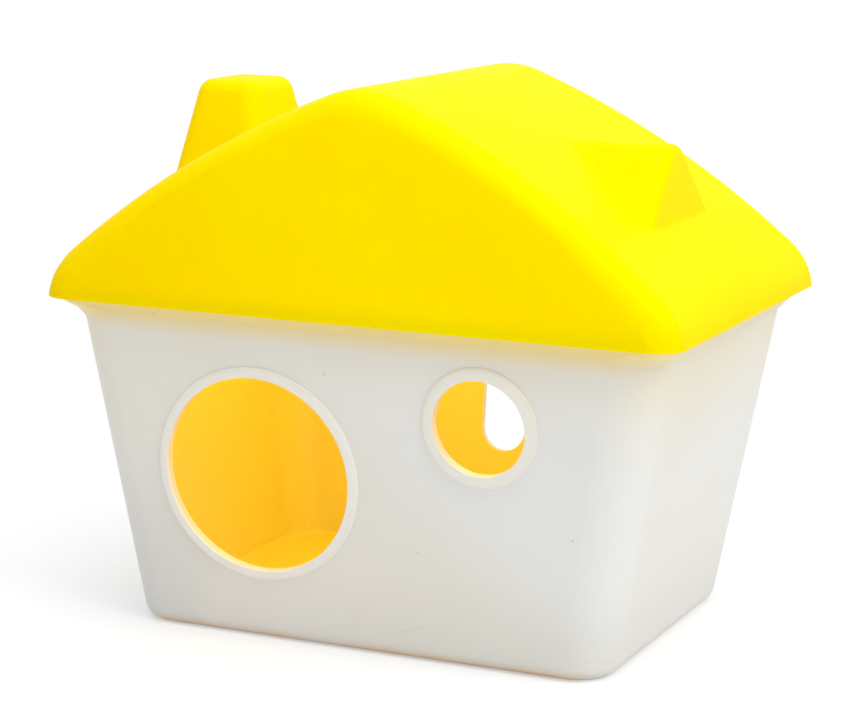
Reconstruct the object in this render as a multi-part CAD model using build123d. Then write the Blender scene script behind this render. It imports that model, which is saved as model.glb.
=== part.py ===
from build123d import *
import math
import os

# Hamster house: a white moulded house body and a yellow moulded roof that lifts off.
# Millimetres. X runs along the front wall, Y from the front to the back, Z up.
# The origin is the middle of the face that the house stands on.

# Roof, outer sizes
ROOF_LENGTH = 181.6
ROOF_DEPTH = 126.6
EAVE_HEIGHT = 91.0
RIDGE_HEIGHT = 150.6
RIDGE_RADIUS = 24.0
SLOPE_BOW_RADIUS = 258.0
EAVE_RADIUS = 17.5
EAVE_DRAFT = 3.0
GABLE_DRAFT = 7.0
HIP_RADIUS = 8.4
HIP_BEVEL_ROUNDS = 2
ROOF_WALL = 2.0

# Chimney on the left slope
CHIMNEY_SETBACK = 30.2
CHIMNEY_X = CHIMNEY_SETBACK - ROOF_LENGTH / 2
CHIMNEY_TOP_HEIGHT = 147.2
CHIMNEY_TOP_WIDTH = 19.0
CHIMNEY_TOP_DEPTH = 24.6
CHIMNEY_DRAFT_X = 9.5
CHIMNEY_DRAFT_Y = 16.0
CHIMNEY_CORNER_RADIUS = 5.4
CHIMNEY_TOP_RADIUS = 4.6
CHIMNEY_FOOT_RADIUS = 3.0

# Dormer on the right slope, its gable facing +X
DORMER_SETBACK = 20.8
DORMER_FACE_X = ROOF_LENGTH / 2 - DORMER_SETBACK
DORMER_RIDGE_HEIGHT = 135.4
DORMER_RIDGE_RADIUS = 8.0
DORMER_PITCH = 44.0
DORMER_FACE_DRAFT = 3.5
DORMER_EDGE_RADIUS = 2.4
DORMER_FOOT_RADIUS = 1.5

# House body, outer sizes: how far the eaves stand out, and how far each wall leans in to the foot
SIDE_EAVE_OVERHANG = 6.4
GABLE_EAVE_OVERHANG = 3.8
SIDE_WALL_LEAN = 15.0
FRONT_WALL_LEAN = 9.0
TOP_LENGTH = ROOF_LENGTH - 2 * SIDE_EAVE_OVERHANG
TOP_DEPTH = ROOF_DEPTH - 2 * GABLE_EAVE_OVERHANG
BASE_LENGTH = TOP_LENGTH - 2 * SIDE_WALL_LEAN
BASE_DEPTH = TOP_DEPTH - 2 * FRONT_WALL_LEAN
BODY_CORNER_RADIUS = 12.0
BODY_WALL = 1.8
FLOOR_THICKNESS = 2.2
BASE_EDGE_RADIUS = 4.4

# Lap joint: the skirt of the roof drops over the rim of the body and rests on it
LAP_HEIGHT = 3.0
LAP_DEPTH = 0.9
LAP_CLEARANCE = 0.25
SEAT_CLEARANCE = 0.1
FLARE_HEIGHT = 6.5
FLARE_SETBACK = 0.3
RIM_WALL = 1.6

# Doorway and window in the front wall, slot in the back wall
DOOR_X = -27.7
DOOR_HEIGHT = 46.8
DOOR_RADIUS = 27.1
DOOR_BEAD_WIDTH = 2.8
WINDOW_X = 37.1
WINDOW_HEIGHT = 66.4
WINDOW_RADIUS = 12.9
WINDOW_BEAD_WIDTH = 3.3
BEAD_RISE = 1.1
BEAD_BEVEL = 0.8
SLOT_X = -1.4
SLOT_WIDTH = 13.7
SLOT_BOTTOM = 34.0
SLOT_TOP = 74.0

# Depth by which construction solids run past the faces that they cut
OVERRUN = 12.0

# Half of the turn across a square edge
SQUARE_EDGE_TURN = math.radians(45)


def on_circle(centre, radius, lean):
    """Point of a circle in the XZ plane, its lean in degrees from straight up."""
    turn = math.radians(lean)
    return Vector(centre.X + radius * math.sin(turn), 0, centre.Z + radius * math.cos(turn))


def lean_between(low, high):
    """Lean in degrees of the line from one point of the XZ plane to another."""
    return math.degrees(math.atan2(high.X - low.X, high.Z - low.Z))


def mirrored(point):
    return Vector(-point.X, point.Y, point.Z)


# Centres of the three arcs of one slope: the bowed slope is tangent to the ridge and to the eave
RIDGE_CENTRE = Vector(0, 0, RIDGE_HEIGHT - RIDGE_RADIUS)
EAVE_CENTRE = on_circle(Vector(ROOF_LENGTH / 2, 0, EAVE_HEIGHT), -EAVE_RADIUS, 90 - EAVE_DRAFT)


def slope_centre():
    """Centre of the bow, from its distances to the ridge and eave centres."""
    to_ridge = SLOPE_BOW_RADIUS - RIDGE_RADIUS
    to_eave = SLOPE_BOW_RADIUS - EAVE_RADIUS
    line = EAVE_CENTRE - RIDGE_CENTRE
    span = line.length
    along = (to_ridge**2 - to_eave**2 + span**2) / (2 * span)
    below = math.sqrt(to_ridge**2 - along**2)
    unit = line / span
    downhill = Vector(unit.Z, 0, -unit.X)
    return RIDGE_CENTRE + unit * along + downhill * below


SLOPE_CENTRE = slope_centre()
RIDGE_LEAN = lean_between(SLOPE_CENTRE, RIDGE_CENTRE)
EAVE_LEAN = lean_between(SLOPE_CENTRE, EAVE_CENTRE)
LIP_LEAN = 90 - EAVE_DRAFT


def slope_arc(centre, radius, start, end):
    """Arc in the XZ plane between two leans."""
    middle = on_circle(centre, radius, (start + end) / 2)
    return ThreePointArc(on_circle(centre, radius, start), middle, on_circle(centre, radius, end))


def roof_section(inset):
    """Section across the ridge, moved in by the inset and carried on below the eaves."""
    ridge = RIDGE_RADIUS - inset
    slope = SLOPE_BOW_RADIUS - inset
    eave = EAVE_RADIUS - inset
    lip = on_circle(EAVE_CENTRE, eave, LIP_LEAN)
    foot = lip + Vector(math.tan(math.radians(EAVE_DRAFT)), 0, -1) * OVERRUN
    outline = [
        Line(mirrored(foot), mirrored(lip)),
        slope_arc(mirrored(EAVE_CENTRE), eave, -LIP_LEAN, -EAVE_LEAN),
        slope_arc(mirrored(SLOPE_CENTRE), slope, -EAVE_LEAN, -RIDGE_LEAN),
        slope_arc(RIDGE_CENTRE, ridge, -RIDGE_LEAN, RIDGE_LEAN),
        slope_arc(SLOPE_CENTRE, slope, RIDGE_LEAN, EAVE_LEAN),
        slope_arc(EAVE_CENTRE, eave, EAVE_LEAN, LIP_LEAN),
        Line(lip, foot),
        Line(foot, mirrored(foot)),
    ]
    return make_face(outline)


def tapered_prism(plane, low, high, low_width, high_width):
    """Prism with two leaning sides, its width given at two heights, much longer than the house."""
    foot = low_width / 2
    crest = high_width / 2
    outline = Polyline((-foot, low), (foot, low), (crest, high), (-crest, high), close=True)
    return extrude(plane * make_face(outline), ROOF_LENGTH, both=True)


def drafted_block(low, high, low_size, high_size, corner_radius):
    """Block with flat leaning sides and rounded corners, its length and depth given at two heights."""
    ends = tapered_prism(Plane.XZ, low, high, low_size[0], high_size[0])
    faces = tapered_prism(Plane.YZ, low, high, low_size[1], high_size[1])
    block = ends & faces
    corners = block.edges().group_by(Axis.Z)[1]
    return fillet(corners, corner_radius)


def plain_roof(inset):
    """Gable roof with bowed slopes and sharp hips, moved in by the inset, solid inside."""
    slopes = extrude(roof_section(inset), ROOF_DEPTH, dir=(0, 1, 0), both=True)
    foot = EAVE_HEIGHT - OVERRUN
    crest = RIDGE_HEIGHT + OVERRUN
    lean = math.tan(math.radians(GABLE_DRAFT))
    foot_depth = ROOF_DEPTH - 2 * inset + 2 * OVERRUN * lean
    crest_depth = ROOF_DEPTH - 2 * inset - 2 * (crest - EAVE_HEIGHT) * lean
    return slopes & tapered_prism(Plane.YZ, foot, crest, foot_depth, crest_depth)


def bevel_leg(radius, turn):
    """Leg of a bevel whose middle touches a rounding, on an edge that turns by twice the given angle."""
    return radius * (math.tan(turn) - math.tan(turn / 2))


def along_the_gable(edges):
    """The edges that run along a gable, without the short ones across a bevel."""
    return edges.filter_by(lambda e: abs(e.tangent_at(0.5).Y) < 0.3 and abs(e.center().Y) > ROOF_DEPTH / 4)


def roof_form(inset):
    """Roof solid inside, its hips bevelled in rounds that close in on the hip radius."""
    form = plain_roof(inset)
    ends = form.faces().sort_by(Axis.Y)
    foot = form.faces().sort_by(Axis.Z)[0]
    hips = (ends[0].edges() + ends[-1].edges()) - foot.edges()
    turn = SQUARE_EDGE_TURN
    for _ in range(HIP_BEVEL_ROUNDS):
        bevelled = chamfer(hips, bevel_leg(HIP_RADIUS - inset, turn))
        hips = along_the_gable(new_edges(form, combined=bevelled))
        form = bevelled
        turn = turn / 2
    return form


def chimney_form(inset):
    """Tapered chimney with a sharp top, reaching down into the roof, moved in by the inset."""
    foot_height = EAVE_HEIGHT + OVERRUN
    top_height = CHIMNEY_TOP_HEIGHT - inset
    sizes = []
    for height in (foot_height, top_height):
        drop = CHIMNEY_TOP_HEIGHT - height
        width = CHIMNEY_TOP_WIDTH + 2 * drop * math.tan(math.radians(CHIMNEY_DRAFT_X))
        depth = CHIMNEY_TOP_DEPTH + 2 * drop * math.tan(math.radians(CHIMNEY_DRAFT_Y))
        sizes.append((width - 2 * inset, depth - 2 * inset))
    form = drafted_block(foot_height, top_height, sizes[0], sizes[1], CHIMNEY_CORNER_RADIUS - inset)
    return Pos(CHIMNEY_X, 0, 0) * form


def dormer_form(inset):
    """Small round-topped gable running back into the right slope, moved in by the inset."""
    pitch = math.radians(DORMER_PITCH)
    ridge_radius = DORMER_RIDGE_RADIUS - inset
    crest = DORMER_RIDGE_HEIGHT - DORMER_RIDGE_RADIUS + ridge_radius / math.cos(pitch)
    foot = EAVE_HEIGHT + OVERRUN
    half_width = (crest - foot) / math.tan(pitch)
    gable = Plane.YZ * Polyline((-half_width, foot), (0, crest), (half_width, foot), close=True)
    prism = extrude(make_face(gable), ROOF_LENGTH / 2, dir=(1, 0, 0))
    ridge = prism.edges().filter_by(Axis.X).sort_by(Axis.Z)[-1]
    prism = fillet(ridge, ridge_radius)
    outwards = on_circle(Vector(0, 0, 0), 1, 90 - DORMER_FACE_DRAFT)
    face_foot = (DORMER_FACE_X - inset, 0, slope_height(DORMER_FACE_X))
    return split(prism, Plane(origin=face_foot, z_dir=outwards), keep=Keep.BOTTOM)


def verge_edges(form):
    """Upper edges of the dormer's gable face."""
    face = form.faces().sort_by(Axis.X)[-1]
    return face.edges() - bottom_edges(form)


def top_edges(form):
    return form.edges().group_by(Axis.Z)[-1]


def bottom_edges(form):
    return form.edges().group_by(Axis.Z)[0]


def slope_height(x):
    """Height of the bowed slope's outer face at a distance from the ridge."""
    return SLOPE_CENTRE.Z + math.sqrt(SLOPE_BOW_RADIUS**2 - (x - SLOPE_CENTRE.X) ** 2)


def grown_out(base, form, foot_radius):
    """The base with a form grown out of it, blended round the foot."""
    joined = base + form
    return fillet(new_edges(base, form, combined=joined), foot_radius)


def roof_shell():
    """Roof moulding: one wall thickness throughout, open at the bottom, its lip cut back inside."""
    chimney = fillet(top_edges(chimney_form(0)), CHIMNEY_TOP_RADIUS)
    dormer = fillet(verge_edges(dormer_form(0)), DORMER_EDGE_RADIUS)
    outside = grown_out(roof_form(0), chimney, CHIMNEY_FOOT_RADIUS)
    outside = grown_out(outside, dormer, DORMER_FOOT_RADIUS)
    flue_bevel = bevel_leg(CHIMNEY_TOP_RADIUS - ROOF_WALL, SQUARE_EDGE_TURN)
    flue = chamfer(top_edges(chimney_form(ROOF_WALL)), flue_bevel)
    hollow = roof_form(ROOF_WALL) + flue + dormer_form(ROOF_WALL)
    lap = roof_form(ROOF_WALL - LAP_DEPTH)
    lap = split(lap, Plane.XY.offset(EAVE_HEIGHT + LAP_HEIGHT), keep=Keep.BOTTOM)
    shell = outside - hollow - lap
    return split(shell, Plane.XY.offset(EAVE_HEIGHT), keep=Keep.TOP)


def wall_size(height, inset=0):
    """Length and depth over the house body's walls at a height, moved in by the inset."""
    share = height / EAVE_HEIGHT
    length = BASE_LENGTH + (TOP_LENGTH - BASE_LENGTH) * share
    depth = BASE_DEPTH + (TOP_DEPTH - BASE_DEPTH) * share
    return length - 2 * inset, depth - 2 * inset


def body_block(inset, low, high):
    """Drafted block of the house body between two heights, moved in by the inset."""
    low_size = wall_size(low, inset)
    high_size = wall_size(high, inset)
    return drafted_block(low, high, low_size, high_size, BODY_CORNER_RADIUS - inset)


def front_wall_plane(x, height):
    """Plane on the outer face of the front wall, facing out."""
    lean = math.atan2(FRONT_WALL_LEAN, EAVE_HEIGHT)
    outwards = (0, -math.cos(lean), -math.sin(lean))
    return Plane(origin=(x, -wall_size(height)[1] / 2, height), x_dir=(1, 0, 0), z_dir=outwards)


def hole_bead(x, height, radius, bead_width):
    """Raised bead round a hole of the front wall, rooted in the wall."""
    wall = front_wall_plane(x, height).location
    bead = extrude(wall * Circle(radius + bead_width), BEAD_RISE)
    crest = bead.edges().sort_by(Axis.Y)[0]
    bead = chamfer(crest, BEAD_BEVEL)
    root = extrude(wall * Circle(radius + bead_width), -BODY_WALL / 2)
    return bead + root


def hole_cutter(x, height, radius):
    """Round bore square to the front wall."""
    wall = front_wall_plane(x, height).location
    return extrude(wall * Circle(radius), OVERRUN, both=True)


def back_slot_cutter():
    """Upright slot with round ends through the back wall."""
    middle = (SLOT_BOTTOM + SLOT_TOP) / 2
    slot = SlotOverall(SLOT_TOP - SLOT_BOTTOM, SLOT_WIDTH, rotation=90)
    outline = Plane.XZ * Pos(SLOT_X, middle, 0) * slot
    through = TOP_DEPTH / 2 + OVERRUN
    return extrude(outline, through, dir=(0, 1, 0))


RIM_INSET = ROOF_WALL - LAP_DEPTH + LAP_CLEARANCE


def rim_flare():
    """Flare that carries the walls out to the rim, wider at the sides than at the gables."""
    low = EAVE_HEIGHT - FLARE_HEIGHT
    middle = EAVE_HEIGHT - FLARE_HEIGHT / 2
    wide = RIM_INSET + FLARE_SETBACK
    wide_size = (ROOF_LENGTH - 2 * wide, ROOF_DEPTH - 2 * wide)
    low_size = wall_size(low, FLARE_SETBACK)
    middle_size = ((wide_size[0] + low_size[0]) / 2, wall_size(middle)[1])
    sections = [
        Pos(0, 0, low) * RectangleRounded(*low_size, BODY_CORNER_RADIUS),
        Pos(0, 0, middle) * RectangleRounded(*middle_size, BODY_CORNER_RADIUS),
        Pos(0, 0, EAVE_HEIGHT) * RectangleRounded(*wide_size, HIP_RADIUS - wide),
    ]
    return loft(sections, ruled=True)


def rim_band():
    """Upright rim that follows the inside of the roof's lip at the lap clearance."""
    top = EAVE_HEIGHT + LAP_HEIGHT - SEAT_CLEARANCE
    ring = roof_form(RIM_INSET) - roof_form(RIM_INSET + RIM_WALL)
    ring = split(ring, Plane.XY.offset(EAVE_HEIGHT), keep=Keep.TOP)
    return split(ring, Plane.XY.offset(top), keep=Keep.BOTTOM)


def house_body():
    """Body moulding: floor, drafted walls, flared rim, beaded doorway and window, back slot."""
    outside = body_block(0, 0, EAVE_HEIGHT)
    outside = fillet(bottom_edges(outside), BASE_EDGE_RADIUS)
    outside = outside + rim_flare()
    hollow = body_block(BODY_WALL, FLOOR_THICKNESS, EAVE_HEIGHT + OVERRUN)
    hollow = chamfer(bottom_edges(hollow), bevel_leg(BASE_EDGE_RADIUS - BODY_WALL, SQUARE_EDGE_TURN))
    beads = hole_bead(DOOR_X, DOOR_HEIGHT, DOOR_RADIUS, DOOR_BEAD_WIDTH)
    beads += hole_bead(WINDOW_X, WINDOW_HEIGHT, WINDOW_RADIUS, WINDOW_BEAD_WIDTH)
    body = outside - hollow + beads + rim_band()
    body -= hole_cutter(DOOR_X, DOOR_HEIGHT, DOOR_RADIUS)
    body -= hole_cutter(WINDOW_X, WINDOW_HEIGHT, WINDOW_RADIUS)
    return body - back_slot_cutter()


os.makedirs("parts", exist_ok=True)
export_step(house_body(), "parts/house_body.step")
export_step(roof_shell(), "parts/roof.step")
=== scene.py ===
import math

import bpy
from mathutils import Matrix, Vector


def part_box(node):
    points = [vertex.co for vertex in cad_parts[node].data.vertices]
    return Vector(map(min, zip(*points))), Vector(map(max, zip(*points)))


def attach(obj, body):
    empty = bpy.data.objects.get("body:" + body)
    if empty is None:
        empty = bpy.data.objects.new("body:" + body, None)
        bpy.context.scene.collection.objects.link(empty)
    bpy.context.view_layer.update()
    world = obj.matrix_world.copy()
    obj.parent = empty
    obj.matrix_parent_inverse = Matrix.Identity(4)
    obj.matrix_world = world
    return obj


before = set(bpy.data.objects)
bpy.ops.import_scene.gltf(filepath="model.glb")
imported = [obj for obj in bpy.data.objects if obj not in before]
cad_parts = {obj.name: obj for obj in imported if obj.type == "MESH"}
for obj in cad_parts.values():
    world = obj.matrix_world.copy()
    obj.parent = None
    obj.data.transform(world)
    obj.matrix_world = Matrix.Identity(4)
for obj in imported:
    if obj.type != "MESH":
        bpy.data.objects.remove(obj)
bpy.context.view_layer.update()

MM = 0.001

# The photograph's frame and the camera that matches it
FRAME_WIDTH_PX = 845
SENSOR_WIDTH_MM = 36.0
FOCAL_PX = 2604.74
CAMERA_AZIMUTH = 24.17
CAMERA_ELEVATION = 11.08
CAMERA_ROLL = 0.73
CAMERA_DISTANCE = 0.73149
CLIP_START = 10 * MM
CLIP_END = 20.0
LOOK_AT = Vector((-4.67 * MM, 0, 69.57 * MM))

# Colours of the body, linear
BODY_WHITE = (0.79, 0.78, 0.745)
BODY_WARM = (0.79, 0.755, 0.66)
# Painted cool light on the right of the front wall
BODY_COOL_LIGHT = (0.815, 0.82, 0.815)
# Painted shade at the foot and the lower left
BODY_SHADE = (0.70, 0.69, 0.66)
# Painted warm reflection of the floor along the lowest edge
EDGE_REFLECTION_BROWN = (0.80, 0.52, 0.24)
# Painted highlight on the beads
BEAD_HIGHLIGHT = (0.86, 0.84, 0.78)
EAVE_TINT = (0.90, 0.67, 0.13)
# Painted yellow light from the roof on the inside faces
INSIDE_PAINTED_LIGHT = (0.80, 0.73, 0.08)
SCUFF_GREY = (0.50, 0.48, 0.44)

# Colours of the roof, linear
ROOF_YELLOW = (1.0, 0.965, 0.0)
# Deeper yellow for random clouds and marks, and as painted shade to the left and at the lip
ROOF_DEEP = (1.0, 0.80, 0.0)
ROOF_SHEEN = (1.0, 0.90, 0.0)
ROOF_GLOW = (1.0, 0.80, 0.0)

# How the two plastics take light
PLASTIC_IOR = 1.49
BODY_GLOSS = 0.45
ROOF_GLOSS = 0.015
ROOF_TRANSLUCENCE = 0.35

# Backdrop and floor: the floor turns from a share of plain white near the object to all white far from it
BACKDROP_WHITE = (1.0, 1.0, 1.0)
FLOOR_PALE = (0.80, 0.80, 0.80)
FLOOR_SIZE = 4.0
FLOOR_FADE = (50 * MM, 280 * MM)
FLOOR_NEAR_WHITE = 0.35

# Light: powers in watts, and the attic lamp's size and height as shares of the roof's
DAYLIGHT = (0.97, 0.985, 1.0)
WORLD_STRENGTH = 0.66
LAMP_DISTANCE = 1.3
INSIDE_GLOW = (1.0, 0.60, 0.0)
ATTIC_POWER = 0.069
ATTIC_LENGTH = 0.7
ATTIC_DEPTH = 0.6
ATTIC_HEIGHT = 0.2

# The eaves, and how far below them the flare and the tints of the roof's light reach
EAVE_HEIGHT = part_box("roof")[0][2]
FLARE_DEPTH = 8 * MM
EAVE_TINT_DEPTH = 10 * MM
EAVE_GLOW_DEPTH = 45 * MM

# The front and back walls: how far out their outer face is at the floor, its lean, and its thickness
WALL_FOOT = 50.5 * MM
WALL_LEAN = 9 * MM / EAVE_HEIGHT
WALL_SKIN = 1.5 * MM

# Where each tint, painted light and painted shade begins and where it is full, in the object's own frame
# Span of the painted highlight on the beads
BEAD_PROUD = (WALL_FOOT + 0.1 * MM, WALL_FOOT + 0.6 * MM)
BEHIND_WALL = (WALL_FOOT - WALL_SKIN + 0.3 * MM, WALL_FOOT - WALL_SKIN)
BELOW_LIP = (EAVE_HEIGHT - 0.1 * MM, EAVE_HEIGHT - 0.6 * MM)
BELOW_FLARE = (EAVE_HEIGHT - FLARE_DEPTH, EAVE_HEIGHT - FLARE_DEPTH - 0.5 * MM)
EAVE_TINT_SPAN = (EAVE_HEIGHT - EAVE_TINT_DEPTH, EAVE_HEIGHT)
EAVE_GLOW_SPAN = (EAVE_HEIGHT - EAVE_GLOW_DEPTH, EAVE_HEIGHT)
# Spans of the painted cool light: across, to the front, and below the eaves
COOL_ACROSS = (50 * MM, 100 * MM)
COOL_FRONT = (-35 * MM, -50 * MM)
COOL_BELOW = (86 * MM, 70 * MM)
WARM_FOOT = (30 * MM, 0.0)
# Spans of the painted shade at the foot and at the lower left
FOOT_SHADE_SPAN = (30 * MM, 0.0)
LEFT_SHADE_SPAN = (-30 * MM, -60 * MM)
LEFT_SHADE_HEIGHT = (58 * MM, 15 * MM)
# Spans of the painted warm reflection along the lowest edge of the front wall
EDGE_REFLECTION_FRONT = (-47 * MM, -49 * MM)
EDGE_REFLECTION_LOW = (3.2 * MM, 0.4 * MM)
TURNED_INWARDS = (-10 * MM, -20 * MM)
# Spans of the painted shade on the roof: to the left, and at the lip
SHADE_ACROSS = (40 * MM, -60 * MM)
SHADE_LIP = (6 * MM, 0.0)

# How strong each tint, painted light, painted shade and mark is where it is full
WARM_BROAD_SHARE = 0.50
WARM_STREAK_SHARE = 0.25
WARM_FOOT_SHARE = 0.5
EAVE_TINT_SHARE = 0.82
EAVE_GLOW_SHARE = 0.08
SIDE_GLOW_GAIN = 2.2
# Strength of the painted cool light
COOL_SHARE = 0.8
# Strength of the painted shade at the foot
FOOT_SHADE_SHARE = 0.4
# Strength of the painted warm reflection along the lowest edge
EDGE_REFLECTION_SHARE = 0.75
# Strength of the painted yellow light on the inside faces
INSIDE_PAINTED_LIGHT_SHARE = 0.5
BODY_SPECK_SHARE = 0.70
BODY_SCUFF_SHARE = 0.16
BROAD_CLOUD_SHARE = 0.26
SMALL_CLOUD_SHARE = 0.1
# Strengths of the painted shade on the roof, to the left and at the lip
SHADE_ACROSS_SHARE = 0.40
SHADE_LIP_SHARE = 0.10
ROOF_SPECK_SHARE = 0.15
ROOF_SCUFF_SHARE = 0.04
SCUFF_ROUGHNESS = 0.2

# Bumps, each a strength and a distance: moulding waves, fine grain, and scuffs, which are grooves
BODY_WAVE_BUMP = (0.35, 1.2 * MM)
BODY_GRAIN_BUMP = (0.12, 0.06 * MM)
BODY_SCUFF_BUMP = (-0.25, 0.05 * MM)
ROOF_WAVE_BUMP = (0.30, 1.2 * MM)
ROOF_GRAIN_BUMP = (0.10, 0.06 * MM)
ROOF_SCUFF_BUMP = (-0.2, 0.05 * MM)

# How much the height counts in the slanted painted light and painted shade
COOL_SLANT = 1.2
SHADE_SLANT = 1.5

# Stretch of the patterns: the streaks run upright and the body's scuffs sideways
STREAK_STRETCH = (60.0, 60.0, 5.0)
SCUFF_STRETCH = (0.7, 0.7, 2.6)

# Specks have a dark core, a share of their size; scuffs are the middle band of a noise, and come in
# larger patches with soft edges
SPECK_CORE = 0.4
NOISE_MIDDLE = 0.5
SCUFF_PATCH_SCALE = 0.35
SCUFF_PATCH_EDGE = 0.08

# Faces that turn by less than this belong to one rounding
ROUNDING_TURN = math.radians(50)

# Points of neighbouring faces that lie closer than this are one point
SEAM_GAP = 0.002 * MM

# Numbers of the Mix node's sockets for colours
MIX_SHARE = 0
MIX_FIRST = 6
MIX_SECOND = 7
MIX_RESULT = 2


def add_node(tree, kind, inputs=None, **settings):
    """A node with its settings, and its inputs by name or number: a value, or a socket to link."""
    made = tree.nodes.new(kind)
    for name, value in settings.items():
        setattr(made, name, value)
    for name, value in (inputs or {}).items():
        if isinstance(value, bpy.types.NodeSocket):
            tree.links.new(value, made.inputs[name])
        else:
            made.inputs[name].default_value = value
    return made


def rgba(colour):
    """A colour with full alpha; a socket stays as it is."""
    return colour if isinstance(colour, bpy.types.NodeSocket) else (*colour, 1.0)


def maths(tree, operation, first, second=0.0):
    """Result of a Math node on one or two numbers, each a value or a socket."""
    return add_node(tree, "ShaderNodeMath", {0: first, 1: second}, operation=operation).outputs[0]


def total(tree, first, *others):
    """Sum of several numbers, each a value or a socket."""
    for other in others:
        first = maths(tree, "ADD", first, other)
    return first


def product(tree, first, *others):
    """Product of several numbers, each a value or a socket."""
    for other in others:
        first = maths(tree, "MULTIPLY", first, other)
    return first


def noise(tree, place, scale, detail=2.0, roughness=0.5, distortion=0.0):
    """Noise value from 0 to 1 at a place."""
    pattern = {"Scale": scale, "Detail": detail, "Roughness": roughness, "Distortion": distortion}
    return add_node(tree, "ShaderNodeTexNoise", {"Vector": place, **pattern}).outputs["Fac"]


def ramp(tree, value, span, to_low=0.0, to_high=1.0):
    """Value mapped from a span (begin, end) to another range, clamped, with soft ends."""
    begin, end = span
    inputs = {"Value": value, "From Min": begin, "From Max": end, "To Min": to_low, "To Max": to_high}
    made = add_node(tree, "ShaderNodeMapRange", inputs, interpolation_type="SMOOTHSTEP")
    return made.outputs["Result"]


def blend_colour(tree, share, first, second):
    """Colour between two colours, each a value or a socket."""
    inputs = {MIX_SHARE: share, MIX_FIRST: rgba(first), MIX_SECOND: rgba(second)}
    return add_node(tree, "ShaderNodeMix", inputs, data_type="RGBA").outputs[MIX_RESULT]


def blend_shader(tree, share, first, second):
    """Shader between the shaders of two nodes."""
    inputs = {"Fac": share, 1: first.outputs[0], 2: second.outputs[0]}
    return add_node(tree, "ShaderNodeMixShader", inputs)


def split_axes(tree, vector):
    """The X, Y and Z of a vector."""
    return add_node(tree, "ShaderNodeSeparateXYZ", {"Vector": vector}).outputs


def face_normal(tree):
    """The way that a face looks, before bumps and smooth shading."""
    return tree.nodes.new("ShaderNodeNewGeometry").outputs["True Normal"]


def stretched(tree, place, scale):
    """Place stretched along its axes, for streaks."""
    return add_node(tree, "ShaderNodeMapping", {"Vector": place, "Scale": scale}).outputs["Vector"]


def surface_bump(tree, layers):
    """Normal from several layers, each a height pattern and its strength and distance."""
    normal = None
    for height, (strength, distance) in layers:
        inputs = {"Height": height, "Strength": strength, "Distance": distance}
        if normal is not None:
            inputs["Normal"] = normal
        normal = add_node(tree, "ShaderNodeBump", inputs).outputs["Normal"]
    return normal


def new_material(name):
    """Empty material: itself, its tree, its output node and the place in the object's own frame."""
    material = bpy.data.materials.new(name)
    material.use_nodes = True
    tree = material.node_tree
    tree.nodes.clear()
    output = tree.nodes.new("ShaderNodeOutputMaterial")
    place = tree.nodes.new("ShaderNodeTexCoord").outputs["Object"]
    return material, tree, output, place


def fine_specks(tree, place, scale, size, rarity):
    """Mask of small round specks in some cells of a Voronoi pattern."""
    cells = add_node(tree, "ShaderNodeTexVoronoi", {"Vector": place, "Scale": scale})
    dot = ramp(tree, cells.outputs["Distance"], (size, size * SPECK_CORE))
    pick = add_node(tree, "ShaderNodeSeparateColor", {"Color": cells.outputs["Color"]}).outputs["Red"]
    return product(tree, dot, maths(tree, "GREATER_THAN", pick, rarity))


def hairline_scuffs(tree, place, scale, width, rarity):
    """Mask of short thin scratches: the thin middle band of a distorted noise, in a few patches."""
    lines = noise(tree, place, scale, detail=3.0, roughness=0.55, distortion=1.2)
    off_middle = maths(tree, "ABSOLUTE", maths(tree, "SUBTRACT", lines, NOISE_MIDDLE))
    thin = ramp(tree, off_middle, (width, 0.0))
    patches = noise(tree, place, scale * SCUFF_PATCH_SCALE, detail=1.0)
    return product(tree, thin, ramp(tree, patches, (rarity, rarity + SCUFF_PATCH_EDGE)))


def wall_reach(tree, axes):
    """How far out a place is to the front or back, carried down to the floor along the walls' lean."""
    out = maths(tree, "ABSOLUTE", axes["Y"])
    return maths(tree, "SUBTRACT", out, product(tree, axes["Z"], WALL_LEAN))


def facing_inwards(tree, place, axes):
    """Mask of the faces that look towards the middle of the house, without the edges of its holes."""
    low, high = (Vector(corner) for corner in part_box("house_body"))
    middle = (low + high) / 2
    outwards = add_node(tree, "ShaderNodeVectorMath", {0: place, 1: middle}, operation="SUBTRACT")
    both = {0: face_normal(tree), 1: outwards.outputs["Vector"]}
    along = add_node(tree, "ShaderNodeVectorMath", both, operation="DOT_PRODUCT").outputs["Value"]
    behind_wall = ramp(tree, wall_reach(tree, axes), BEHIND_WALL)
    return product(tree, ramp(tree, along, TURNED_INWARDS), behind_wall)


def on_a_bead(tree, axes):
    """Mask of the beads, which stand out from the wall below the flare; a painted highlight lies on it.
    """
    proud = ramp(tree, wall_reach(tree, axes), BEAD_PROUD)
    return product(tree, proud, ramp(tree, axes["Z"], BELOW_FLARE))


def eave_light(tree, axes):
    """Share of the yellow light from the roof's lip: strong right under it, faint far down the sides."""
    near = ramp(tree, axes["Z"], EAVE_TINT_SPAN, to_high=EAVE_TINT_SHARE)
    far = ramp(tree, axes["Z"], EAVE_GLOW_SPAN, to_high=EAVE_GLOW_SHARE)
    side = maths(tree, "ABSOLUTE", split_axes(tree, face_normal(tree))["X"])
    far_and_side = product(tree, far, total(tree, product(tree, side, SIDE_GLOW_GAIN), 1.0))
    strongest = maths(tree, "MAXIMUM", near, far_and_side)
    return product(tree, strongest, ramp(tree, axes["Z"], BELOW_LIP))


def painted_cool_light(tree, axes):
    """Share of the painted cool light: a lighter, cooler patch on the right of the front wall, below the
    eaves.
    """
    across = total(tree, axes["X"], product(tree, axes["Z"], COOL_SLANT))
    front = ramp(tree, axes["Y"], COOL_FRONT)
    below = ramp(tree, axes["Z"], COOL_BELOW, to_high=COOL_SHARE)
    return product(tree, ramp(tree, across, COOL_ACROSS), front, below)


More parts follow.
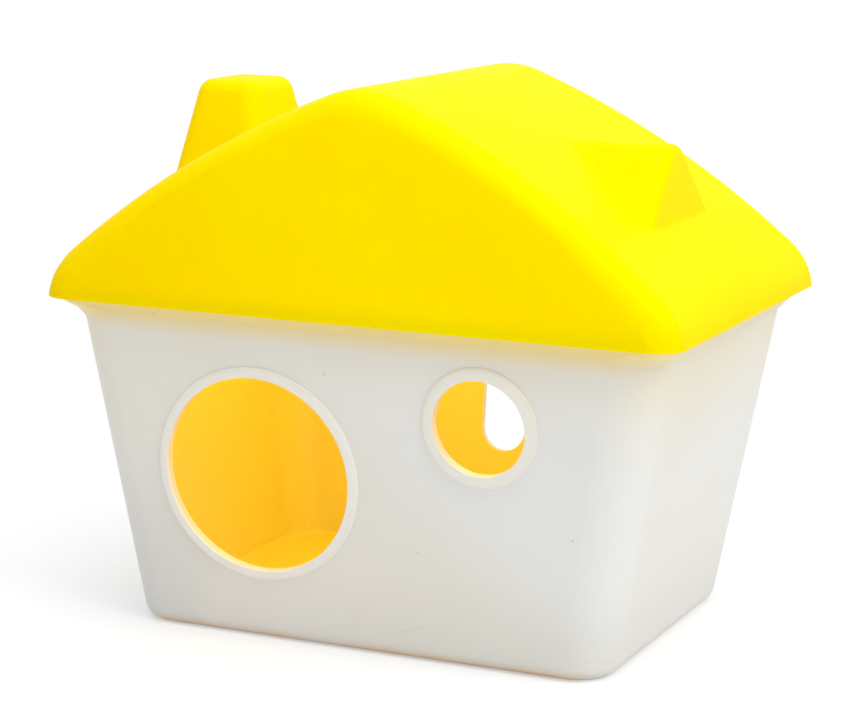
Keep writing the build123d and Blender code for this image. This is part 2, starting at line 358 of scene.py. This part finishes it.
def painted_foot_shade(tree, axes):
    """Share of the painted shade: darker at the foot all round, and higher up at the left."""
    foot = ramp(tree, axes["Z"], FOOT_SHADE_SPAN, to_high=FOOT_SHADE_SHARE)
    left = product(tree, ramp(tree, axes["X"], LEFT_SHADE_SPAN), ramp(tree, axes["Z"], LEFT_SHADE_HEIGHT))
    return maths(tree, "MAXIMUM", foot, left)


def painted_edge_reflection(tree, place, axes):
    """Share of the painted warm reflection of the floor along the lowest edge of the front wall."""
    low = ramp(tree, axes["Z"], EDGE_REFLECTION_LOW, to_high=EDGE_REFLECTION_SHARE)
    front = ramp(tree, axes["Y"], EDGE_REFLECTION_FRONT)
    patchy = ramp(tree, noise(tree, place, scale=45.0), span=(0.3, 0.6), to_low=0.45)
    return product(tree, low, front, patchy)


def warm_patches(tree, place, axes, broad):
    """Share of the warmer white: broad patches, faint upright streaks, and a patchy foot."""
    streaks = noise(tree, stretched(tree, place, STREAK_STRETCH), scale=1.0, detail=3.0)
    patches = ramp(tree, noise(tree, place, scale=45.0, detail=4.0), span=(0.35, 0.7))
    foot = product(tree, ramp(tree, axes["Z"], WARM_FOOT), patches, WARM_FOOT_SHARE)
    broad_share = ramp(tree, broad, span=(0.35, 0.65), to_high=WARM_BROAD_SHARE)
    streak_share = ramp(tree, streaks, span=(0.35, 0.75), to_high=WARM_STREAK_SHARE)
    return total(tree, broad_share, streak_share, foot)


def body_colour(tree, place, broad, scuffs):
    """White with its warm tints, a painted cool light, painted shade at the foot, a painted warm
    reflection at the lowest edge, painted highlights on the beads, the light under the eaves, marks, and
    painted yellow light on the inside.
    """
    axes = split_axes(tree, place)
    inwards = facing_inwards(tree, place, axes)
    # Painted shade at the foot and the lower left, kept off the inside faces
    foot_shade = product(tree, painted_foot_shade(tree, axes), maths(tree, "SUBTRACT", 1.0, inwards))
    colour = blend_colour(tree, warm_patches(tree, place, axes, broad), BODY_WHITE, BODY_WARM)
    # Painted cool light on the right of the front wall
    colour = blend_colour(tree, painted_cool_light(tree, axes), colour, BODY_COOL_LIGHT)
    colour = blend_colour(tree, foot_shade, colour, BODY_SHADE)
    # Painted warm reflection of the floor along the lowest edge
    colour = blend_colour(tree, painted_edge_reflection(tree, place, axes), colour, EDGE_REFLECTION_BROWN)
    # Painted highlight on the beads
    colour = blend_colour(tree, on_a_bead(tree, axes), colour, BEAD_HIGHLIGHT)
    colour = blend_colour(tree, eave_light(tree, axes), colour, EAVE_TINT)
    specks = fine_specks(tree, place, scale=160.0, size=0.07, rarity=0.88)
    marks = total(tree, product(tree, specks, BODY_SPECK_SHARE), product(tree, scuffs, BODY_SCUFF_SHARE))
    colour = blend_colour(tree, marks, colour, SCUFF_GREY)
    # Painted yellow light from the roof on the inside faces
    return blend_colour(tree, product(tree, inwards, INSIDE_PAINTED_LIGHT_SHARE), colour, INSIDE_PAINTED_LIGHT)


def body_plastic():
    """Satin white moulded plastic with faint waves and scuffs."""
    material, tree, output, place = new_material("body_white_plastic")
    broad = noise(tree, place, scale=14.0, detail=3.0)
    sideways = stretched(tree, place, SCUFF_STRETCH)
    scuffs = hairline_scuffs(tree, sideways, scale=40.0, width=0.006, rarity=0.58)
    waves = ramp(tree, broad, span=(0.2, 0.8), to_low=0.36, to_high=0.46)
    shader = add_node(tree, "ShaderNodeBsdfPrincipled", {
        "Base Color": body_colour(tree, place, broad, scuffs),
        "Roughness": total(tree, waves, product(tree, scuffs, SCUFF_ROUGHNESS)),
        "Normal": surface_bump(tree, [
            (noise(tree, place, scale=22.0), BODY_WAVE_BUMP),
            (noise(tree, place, scale=700.0), BODY_GRAIN_BUMP),
            (scuffs, BODY_SCUFF_BUMP),
        ]),
        "IOR": PLASTIC_IOR,
        "Specular IOR Level": BODY_GLOSS,
    })
    tree.links.new(shader.outputs["BSDF"], output.inputs["Surface"])
    return material


def clouds_and_painted_shade(tree, place, broad):
    """Share of the deeper yellow: faint clouds of tone, and painted shade to the left, to the eaves and
    at the lip.
    """
    axes = split_axes(tree, place)
    above = maths(tree, "SUBTRACT", axes["Z"], EAVE_HEIGHT)
    across = total(tree, axes["X"], product(tree, above, SHADE_SLANT))
    small = noise(tree, place, scale=55.0, detail=4.0)
    broad_clouds = ramp(tree, broad, span=(0.3, 0.75), to_high=BROAD_CLOUD_SHARE)
    small_clouds = ramp(tree, small, span=(0.4, 0.8), to_high=SMALL_CLOUD_SHARE)
    left = ramp(tree, across, SHADE_ACROSS, to_high=SHADE_ACROSS_SHARE)
    lip = ramp(tree, above, SHADE_LIP, to_high=SHADE_LIP_SHARE)
    return total(tree, broad_clouds, small_clouds, left, lip)


def roof_plastic():
    """Translucent yellow plastic: a satin skin over a body that lets light through."""
    material, tree, output, place = new_material("roof_yellow_plastic")
    broad = noise(tree, place, scale=12.0, detail=3.0)
    # Deeper yellow in random clouds, and as painted shade to the left and at the lip
    clean = blend_colour(tree, clouds_and_painted_shade(tree, place, broad), ROOF_YELLOW, ROOF_DEEP)
    specks = fine_specks(tree, place, scale=70.0, size=0.04, rarity=0.95)
    scuffs = hairline_scuffs(tree, place, scale=30.0, width=0.004, rarity=0.66)
    marks = total(tree, product(tree, specks, ROOF_SPECK_SHARE), product(tree, scuffs, ROOF_SCUFF_SHARE))
    waves = ramp(tree, broad, span=(0.2, 0.8), to_low=0.34, to_high=0.44)
    normal = surface_bump(tree, [
        (noise(tree, place, scale=20.0), ROOF_WAVE_BUMP),
        (noise(tree, place, scale=650.0), ROOF_GRAIN_BUMP),
        (scuffs, ROOF_SCUFF_BUMP),
    ])
    skin = add_node(tree, "ShaderNodeBsdfPrincipled", {
        "Base Color": blend_colour(tree, marks, clean, ROOF_DEEP),
        "Roughness": total(tree, waves, product(tree, scuffs, SCUFF_ROUGHNESS)),
        "Normal": normal,
        "IOR": PLASTIC_IOR,
        "Specular IOR Level": ROOF_GLOSS,
        "Specular Tint": rgba(ROOF_SHEEN),
    })
    glow = add_node(tree, "ShaderNodeBsdfTranslucent", {"Color": rgba(ROOF_GLOW), "Normal": normal})
    shader = blend_shader(tree, ROOF_TRANSLUCENCE, skin, glow)
    tree.links.new(shader.outputs["Shader"], output.inputs["Surface"])
    return material


def seen_directly(tree):
    """1 on rays that show a surface to the camera, straight, in a gloss or through glass."""
    path = tree.nodes.new("ShaderNodeLightPath").outputs
    glossy = maths(tree, "MAXIMUM", path["Is Glossy Ray"], path["Is Transmission Ray"])
    return maths(tree, "MAXIMUM", path["Is Camera Ray"], glossy)


def stage_floor():
    """Pale floor: white far from the object, a soft shadow near it, plain grey for its bounced light."""
    bpy.ops.mesh.primitive_plane_add(size=FLOOR_SIZE, location=(0, 0, 0))
    floor = bpy.context.object
    floor.name = "floor"
    material, tree, output, place = new_material("floor_pale")
    plain = add_node(tree, "ShaderNodeBsdfDiffuse", {"Color": rgba(FLOOR_PALE)})
    shaded = add_node(tree, "ShaderNodeBsdfDiffuse", {"Color": rgba(BACKDROP_WHITE)})
    white = add_node(tree, "ShaderNodeEmission", {"Color": rgba(BACKDROP_WHITE), "Strength": 1.0})
    reach = add_node(tree, "ShaderNodeVectorMath", {"Vector": place}, operation="LENGTH").outputs["Value"]
    whiteness = ramp(tree, reach, FLOOR_FADE, to_low=FLOOR_NEAR_WHITE)
    shown = blend_shader(tree, whiteness, shaded, white)
    pick = blend_shader(tree, seen_directly(tree), plain, shown)
    tree.links.new(pick.outputs["Shader"], output.inputs["Surface"])
    floor.data.materials.append(material)


def world_light():
    """Even studio light, with a white backdrop for the rays that show it."""
    world = bpy.data.worlds.new("studio")
    bpy.context.scene.world = world
    world.use_nodes = True
    tree = world.node_tree
    tree.nodes.clear()
    output = tree.nodes.new("ShaderNodeOutputWorld")
    light = add_node(tree, "ShaderNodeBackground", {"Color": rgba(DAYLIGHT), "Strength": WORLD_STRENGTH})
    backdrop = add_node(tree, "ShaderNodeBackground", {"Color": rgba(BACKDROP_WHITE), "Strength": 1.0})
    pick = blend_shader(tree, seen_directly(tree), light, backdrop)
    tree.links.new(pick.outputs["Shader"], output.inputs["Surface"])


def direction(azimuth, elevation):
    """Unit vector from the object towards a viewer or lamp; azimuth 0 is in front."""
    turn = math.radians(azimuth)
    rise = math.radians(elevation)
    return Vector((math.sin(turn) * math.cos(rise), -math.cos(turn) * math.cos(rise), math.sin(rise)))


def studio_lamp(name, azimuth, elevation, size, power):
    """Soft square lamp aimed at the point that the camera looks at."""
    data = bpy.data.lights.new(name, "AREA")
    data.shape = "SQUARE"
    data.size = size
    data.energy = power
    lamp = bpy.data.objects.new(name, data)
    bpy.context.scene.collection.objects.link(lamp)
    towards = direction(azimuth, elevation)
    lamp.location = LOOK_AT + towards * LAMP_DISTANCE
    lamp.rotation_euler = towards.to_track_quat("Z", "Y").to_euler()


def attic_lamp():
    """Warm light in the attic, for the light that the translucent roof sends down on every side."""
    low, high = (Vector(corner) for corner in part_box("roof"))
    size = high - low
    data = bpy.data.lights.new("attic_glow", "AREA")
    data.shape = "RECTANGLE"
    data.size = size.x * ATTIC_LENGTH
    data.size_y = size.y * ATTIC_DEPTH
    data.energy = ATTIC_POWER
    data.color = INSIDE_GLOW
    lamp = bpy.data.objects.new("attic_glow", data)
    bpy.context.scene.collection.objects.link(lamp)
    lamp.location = (0, 0, low.z + size.z * ATTIC_HEIGHT)
    lamp.visible_camera = False
    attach(lamp, "roof")


def photo_camera():
    """Camera at the photograph's place, turn and focal length."""
    data = bpy.data.cameras.new("camera")
    data.sensor_fit = "HORIZONTAL"
    data.sensor_width = SENSOR_WIDTH_MM
    data.lens = FOCAL_PX * SENSOR_WIDTH_MM / FRAME_WIDTH_PX
    data.clip_start = CLIP_START
    data.clip_end = CLIP_END
    camera = bpy.data.objects.new("camera", data)
    bpy.context.scene.collection.objects.link(camera)
    back = direction(CAMERA_AZIMUTH, CAMERA_ELEVATION)
    right = Vector((0, 0, 1)).cross(back).normalized()
    up = back.cross(right)
    roll = math.radians(CAMERA_ROLL)
    turned_right = right * math.cos(roll) + up * math.sin(roll)
    turned_up = up * math.cos(roll) - right * math.sin(roll)
    turn = Matrix((turned_right, turned_up, back)).transposed().to_4x4()
    camera.matrix_world = Matrix.Translation(LOOK_AT + back * CAMERA_DISTANCE) @ turn
    bpy.context.scene.camera = camera


def rounding_group():
    """Geometry nodes that join the faces of a solid and keep only its large turns sharp."""
    group = bpy.data.node_groups.new("roundings", "GeometryNodeTree")
    group.interface.new_socket("Geometry", in_out="INPUT", socket_type="NodeSocketGeometry")
    group.interface.new_socket("Geometry", in_out="OUTPUT", socket_type="NodeSocketGeometry")
    solid = group.nodes.new("NodeGroupInput").outputs["Geometry"]
    joined = add_node(group, "GeometryNodeMergeByDistance", {"Geometry": solid, "Distance": SEAM_GAP})
    turn = group.nodes.new("GeometryNodeInputMeshEdgeAngle").outputs["Unsigned Angle"]
    sharp = maths(group, "GREATER_THAN", turn, ROUNDING_TURN)
    inputs = {"Mesh": joined.outputs["Geometry"], "Remove Custom": True, "Edge Sharpness": sharp}
    shaded = add_node(group, "GeometryNodeSetMeshNormal", inputs, mode="SHARPNESS")
    output = group.nodes.new("NodeGroupOutput")
    group.links.new(shaded.outputs["Mesh"], output.inputs["Geometry"])
    return group


def shade_roundings(piece, group):
    """Shades the strips and facets of a rounding as one smooth surface; flat faces stay flat."""
    piece.modifiers.new("roundings", "NODES").node_group = group
    weighted = piece.modifiers.new("weighted_normals", "WEIGHTED_NORMAL")
    weighted.mode = "FACE_AREA"
    weighted.keep_sharp = True


def dress(node, material, group):
    """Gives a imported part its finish."""
    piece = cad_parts[node]
    piece.data.materials.clear()
    piece.data.materials.append(material)
    shade_roundings(piece, group)


photo_camera()
bpy.context.scene.view_settings.view_transform = "Standard"

# The pale inside of the house passes light on many times
bpy.context.scene.cycles.diffuse_bounces = 10
bpy.context.scene.cycles.max_bounces = 14

world_light()
studio_lamp("key", azimuth=75, elevation=48, size=0.9, power=6.6)
studio_lamp("top", azimuth=0, elevation=88, size=1.2, power=7.5)
studio_lamp("front", azimuth=42, elevation=28, size=0.20, power=0.5)
attic_lamp()
stage_floor()
roundings = rounding_group()
dress("house_body", body_plastic(), roundings)
dress("roof", roof_plastic(), roundings)
